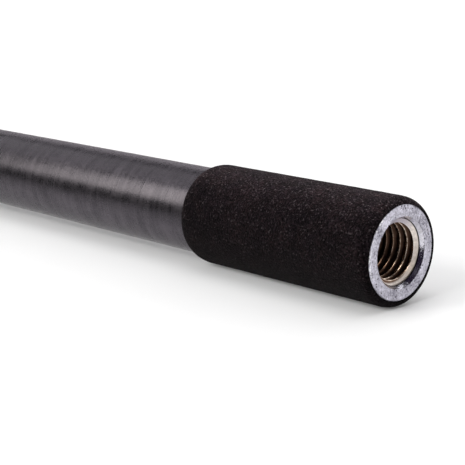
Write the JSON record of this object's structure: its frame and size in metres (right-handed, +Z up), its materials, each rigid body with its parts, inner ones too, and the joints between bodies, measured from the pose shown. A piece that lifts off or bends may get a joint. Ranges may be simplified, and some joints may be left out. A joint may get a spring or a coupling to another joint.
{
  "type": "roller extension pole",
  "caption": "Slim telescopic carbon pole with a short foam grip, a threaded metal socket in its butt, a lever clamp and a threaded tip for a paint roller.",
  "frame": {"origin": "middle of the closed pole's length and width, on the surface that it lies on", "axes": "+X along the pole towards the butt with the foam grip and the threaded socket, +Z up, the clamp's lever on the +Y side"},
  "size_m": [0.636, 0.043, 0.046],
  "materials": {
    "tube_carbon": "bare tape-wrapped carbon composite, satin",
    "grip_foam": "ground closed-cell foam, matte",
    "insert_alloy": "turned and clear anodised, satin",
    "bush_metal": "tapped, bright, lightly stained in the roots",
    "steel": "zinc plated",
    "acetal": "natural, matte",
    "buffer_rubber": "moulded, matte",
    "clamp_nylon": "glass-filled nylon, fine texture",
    "tip_nylon": "glass-filled nylon, smooth",
    "lever_alloy": "forged and dark anodised, satin",
    "nut_alloy": "turned and anodised"
  },
  "bodies": {
    "outer_section": {"outer_tube": "tube_carbon", "grip_sleeve": "grip_foam", "insert_plug": "insert_alloy", "thread_bush": "bush_metal", "bush_pin": "steel", "bush_retainer": "acetal", "bump_stop": "buffer_rubber", "clamp_body": "clamp_nylon", "collar_set_screws": "steel", "clamp_liner": "acetal", "clamp_bolt": "steel", "barrel_pin": "steel", "cam_washer": "steel", "nut_washer": "steel"},
    "lock_lever": {"clamp_lever": "lever_alloy"},
    "tension_nut": {"thumb_nut": "nut_alloy"},
    "guide": {"guide_ring": "acetal"},
    "inner_section": {"inner_tube": "tube_carbon", "guide_plug": "clamp_nylon", "tip_ferrule": "clamp_nylon", "threaded_tip": "tip_nylon", "tip_pin": "steel"}
  },
  "joints": [
    {"name": "telescope", "type": "slide", "parent": "outer_section", "child": "guide", "axis": [-1, 0, 0], "range_m": [0, 0.4]},
    {"name": "inner_turn", "type": "hinge", "parent": "guide", "child": "inner_section", "pos_m": [0.269, 0, 0.016], "axis": [1, 0, 0], "continuous": true},
    {"name": "lever_flip", "type": "hinge", "parent": "outer_section", "child": "lock_lever", "pos_m": [-0.215, 0.0145, 0.0385], "axis": [1, 0, 0], "range_deg": [0, 125]},
    {"name": "nut_turn", "type": "hinge", "parent": "outer_section", "child": "tension_nut", "pos_m": [-0.215, 0, 0.0385], "axis": [0, 1, 0], "range_deg": [-180, 180]}
  ]
}
